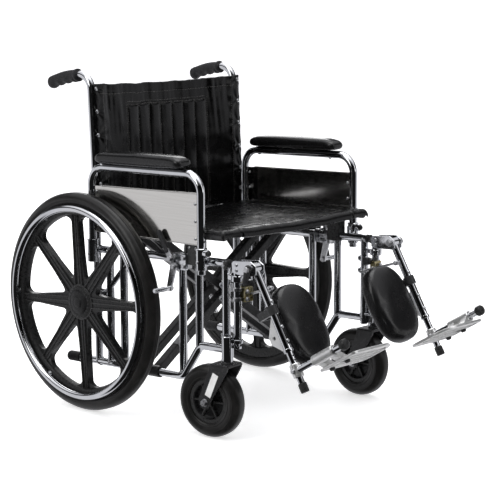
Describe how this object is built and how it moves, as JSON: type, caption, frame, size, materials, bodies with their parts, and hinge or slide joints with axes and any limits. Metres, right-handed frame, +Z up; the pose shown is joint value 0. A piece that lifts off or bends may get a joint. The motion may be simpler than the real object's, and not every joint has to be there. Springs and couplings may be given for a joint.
{
  "type": "manual wheelchair",
  "caption": "Folding manual wheelchair with mag rear wheels, front casters, padded removable arms, vinyl sling seat and elevating swing-away legrests.",
  "frame": {"origin": "on the floor, midway along the length and the width of the chair at rest", "axes": "+Z up, the chair faces -Y, +X is the occupant's left"},
  "size_m": [0.771, 1.2246, 0.9453],
  "materials": {
    "chrome": "polished",
    "zinc": "satin",
    "cast_aluminium": "satin",
    "polished_panel": "polished",
    "black_paint": "gloss",
    "black_plastic": "satin",
    "grip_rubber": "matte",
    "tyre": "matte",
    "pad_vinyl": "satin",
    "sling_vinyl": "satin"
  },
  "bodies": {
    "right_side": {"right_side_frame": "chrome", "right_push_grip": "grip_rubber", "right_tipping_lever_tip": "grip_rubber", "right_seat_guide": "black_plastic", "right_wheel_axle": "zinc", "right_brake_clamp": "zinc", "back_sling": "sling_vinyl"},
    "cross_a": {"cross_frame_a": "black_paint", "cross_pivot_bolt": "zinc", "seat_sling": "sling_vinyl"},
    "cross_b": {"cross_frame_b": "black_paint"},
    "left_side": {"left_side_frame": "chrome", "left_push_grip": "grip_rubber", "left_tipping_lever_tip": "grip_rubber", "left_seat_guide": "black_plastic", "left_wheel_axle": "zinc", "left_brake_clamp": "zinc"},
    "left_wheel": {"left_wheel_mag": "black_plastic", "left_wheel_tyre": "tyre", "left_handrim": "chrome", "left_hub_cap": "black_plastic"},
    "left_caster": {"left_caster_fork": "black_paint"},
    "left_caster_roller": {"left_caster_wheel": "black_plastic", "left_caster_tyre": "tyre"},
    "left_arm": {"left_arm_frame": "chrome", "left_arm_panel": "polished_panel", "left_arm_pad": "pad_vinyl"},
    "left_latch": {"left_arm_latch": "black_plastic"},
    "left_brake": {"left_brake_lever": "grip_rubber"},
    "left_shoe": {"left_brake_shoe": "zinc"},
    "left_hanger": {"left_legrest_hanger": "chrome"},
    "left_release": {"left_legrest_release": "grip_rubber"},
    "left_leg": {"left_leg_tube": "chrome"},
    "left_ratchet": {"left_ratchet_rod": "zinc"},
    "left_foot": {"left_foot_tube": "chrome"},
    "left_plate": {"left_footplate": "cast_aluminium"},
    "left_calf": {"left_calf_pad": "pad_vinyl", "left_calf_bracket": "black_paint"},
    "right_wheel": {"right_wheel_mag": "black_plastic", "right_wheel_tyre": "tyre", "right_handrim": "chrome", "right_hub_cap": "black_plastic"},
    "right_caster": {"right_caster_fork": "black_paint"},
    "right_caster_roller": {"right_caster_wheel": "black_plastic", "right_caster_tyre": "tyre"},
    "right_arm": {"right_arm_frame": "chrome", "right_arm_panel": "polished_panel", "right_arm_pad": "pad_vinyl"},
    "right_latch": {"right_arm_latch": "black_plastic"},
    "right_brake": {"right_brake_lever": "grip_rubber"},
    "right_shoe": {"right_brake_shoe": "zinc"},
    "right_hanger": {"right_legrest_hanger": "chrome"},
    "right_release": {"right_legrest_release": "grip_rubber"},
    "right_leg": {"right_leg_tube": "chrome"},
    "right_ratchet": {"right_ratchet_rod": "zinc"},
    "right_foot": {"right_foot_tube": "chrome"},
    "right_plate": {"right_footplate": "cast_aluminium"},
    "right_calf": {"right_calf_pad": "pad_vinyl", "right_calf_bracket": "black_paint"}
  },
  "joints": [
    {"name": "fold", "type": "hinge", "parent": "right_side", "child": "cross_a", "pos_m": [-0.28, 0.13628, 0.13], "axis": [0, -0.9994, 0.0349], "range_deg": [0, 19], "deforming": ["seat_sling", "back_sling"]},
    {"name": "fold_scissor", "type": "hinge", "parent": "cross_a", "child": "cross_b", "pos_m": [0, 0.13628, 0.3245], "axis": [0, -0.9994, 0.0349], "range_deg": [-38, 0]},
    {"name": "fold_far_side", "type": "hinge", "parent": "cross_b", "child": "left_side", "pos_m": [0.28, 0.13628, 0.13], "axis": [0, -0.9994, 0.0349], "range_deg": [0, 19]},
    {"name": "left_wheel_spin", "type": "hinge", "parent": "left_side", "child": "left_wheel", "pos_m": [0.3486, 0.30728, 0.305], "axis": [1, 0, 0], "continuous": true},
    {"name": "left_caster_swivel", "type": "hinge", "parent": "left_side", "child": "left_caster", "pos_m": [0.298, -0.20672, 0.23], "axis": [0, 0, 1], "continuous": true},
    {"name": "left_caster_spin", "type": "hinge", "parent": "left_caster", "child": "left_caster_roller", "pos_m": [0.298, -0.15672, 0.0975], "axis": [1, 0, 0], "continuous": true},
    {"name": "left_arm_lift", "type": "slide", "parent": "left_side", "child": "left_arm", "axis": [0, 0, 1], "range_m": [0, 0.065]},
    {"name": "left_arm_latch_press", "type": "slide", "parent": "left_side", "child": "left_latch", "axis": [0, 1, 0], "range_m": [0, 0.004], "stiffness_N_per_m": 400},
    {"name": "left_brake_lever_turn", "type": "hinge", "parent": "left_side", "child": "left_brake", "pos_m": [0.317, -0.01772, 0.46], "axis": [1, 0, 0], "range_deg": [0, 45]},
    {"name": "left_brake_shoe_turn", "type": "hinge", "parent": "left_side", "child": "left_shoe", "pos_m": [0.31, -0.02172, 0.438], "axis": [1, 0, 0], "range_deg": [0, 9]},
    {"name": "left_legrest_swing", "type": "hinge", "parent": "left_side", "child": "left_hanger", "pos_m": [0.28, -0.22772, 0.3], "axis": [0, 0, 1], "range_deg": [0, 90]},
    {"name": "left_release_pull", "type": "hinge", "parent": "left_hanger", "child": "left_release", "pos_m": [0.306, -0.28972, 0.462], "axis": [-1, 0, 0], "range_deg": [0, 20], "stiffness_Nm_per_rad": 0.5},
    {"name": "left_leg_elevation", "type": "hinge", "parent": "left_hanger", "child": "left_leg", "pos_m": [0.28, -0.28972, 0.462], "axis": [-1, 0, 0], "range_deg": [0, 60]},
    {"name": "left_ratchet_rod_turn", "type": "hinge", "parent": "left_leg", "child": "left_ratchet", "pos_m": [0.257, -0.32017, 0.4103], "axis": [1, 0, 0], "range_deg": [0, 43]},
    {"name": "left_foot_slide", "type": "slide", "parent": "left_leg", "child": "left_foot", "axis": [0, -0.5075, -0.8616], "range_m": [0, 0.08]},
    {"name": "left_footplate_flip", "type": "hinge", "parent": "left_foot", "child": "left_plate", "pos_m": [0.28, -0.43335, 0.21816], "axis": [0, 0.8616, -0.5075], "range_deg": [0, 90]},
    {"name": "left_calf_pad_swing", "type": "hinge", "parent": "left_leg", "child": "left_calf", "pos_m": [0.28, -0.37295, 0.32069], "axis": [0, -0.5075, -0.8616], "range_deg": [-72, 0]},
    {"name": "right_wheel_spin", "type": "hinge", "parent": "right_side", "child": "right_wheel", "pos_m": [-0.3486, 0.30728, 0.305], "axis": [1, 0, 0], "continuous": true},
    {"name": "right_caster_swivel", "type": "hinge", "parent": "right_side", "child": "right_caster", "pos_m": [-0.298, -0.20672, 0.23], "axis": [0, 0, 1], "continuous": true},
    {"name": "right_caster_spin", "type": "hinge", "parent": "right_caster", "child": "right_caster_roller", "pos_m": [-0.30496, -0.1572, 0.0975], "axis": [0.9903, 0.1392, 0], "continuous": true},
    {"name": "right_arm_lift", "type": "slide", "parent": "right_side", "child": "right_arm", "axis": [0, 0, 1], "range_m": [0, 0.065]},
    {"name": "right_arm_latch_press", "type": "slide", "parent": "right_side", "child": "right_latch", "axis": [0, 1, 0], "range_m": [0, 0.004], "stiffness_N_per_m": 400},
    {"name": "right_brake_lever_turn", "type": "hinge", "parent": "right_side", "child": "right_brake", "pos_m": [-0.317, -0.01772, 0.46], "axis": [1, 0, 0], "range_deg": [0, 45]},
    {"name": "right_brake_shoe_turn", "type": "hinge", "parent": "right_side", "child": "right_shoe", "pos_m": [-0.31, -0.02172, 0.438], "axis": [1, 0, 0], "range_deg": [0, 9]},
    {"name": "right_legrest_swing", "type": "hinge", "parent": "right_side", "child": "right_hanger", "pos_m": [-0.28, -0.22772, 0.3], "axis": [0, 0, -1], "range_deg": [0, 90]},
    {"name": "right_release_pull", "type": "hinge", "parent": "right_hanger", "child": "right_release", "pos_m": [-0.306, -0.28972, 0.462], "axis": [-1, 0, 0], "range_deg": [0, 20], "stiffness_Nm_per_rad": 0.5},
    {"name": "right_leg_elevation", "type": "hinge", "parent": "right_hanger", "child": "right_leg", "pos_m": [-0.28, -0.28972, 0.462], "axis": [-1, 0, 0], "range_deg": [0, 60]},
    {"name": "right_ratchet_rod_turn", "type": "hinge", "parent": "right_leg", "child": "right_ratchet", "pos_m": [-0.257, -0.32017, 0.4103], "axis": [1, 0, 0], "range_deg": [0, 43]},
    {"name": "right_foot_slide", "type": "slide", "parent": "right_leg", "child": "right_foot", "axis": [0, -0.5075, -0.8616], "range_m": [0, 0.08]},
    {"name": "right_footplate_flip", "type": "hinge", "parent": "right_foot", "child": "right_plate", "pos_m": [-0.28, -0.43335, 0.21816], "axis": [0, -0.8616, 0.5075], "range_deg": [0, 90]},
    {"name": "right_calf_pad_swing", "type": "hinge", "parent": "right_leg", "child": "right_calf", "pos_m": [-0.28, -0.37295, 0.32069], "axis": [0, 0.5075, 0.8616], "range_deg": [-72, 0]}
  ],
  "couplings": [
    {"joint": "fold_scissor", "follows": "fold", "ratio": -2},
    {"joint": "fold_far_side", "follows": "fold", "ratio": 1},
    {"joint": "left_brake_shoe_turn", "follows": "left_brake_lever_turn", "ratio": 0.2},
    {"joint": "left_ratchet_rod_turn", "follows": "left_leg_elevation", "ratio": 0.71},
    {"joint": "right_brake_shoe_turn", "follows": "right_brake_lever_turn", "ratio": 0.2},
    {"joint": "right_ratchet_rod_turn", "follows": "right_leg_elevation", "ratio": 0.71}
  ]
}
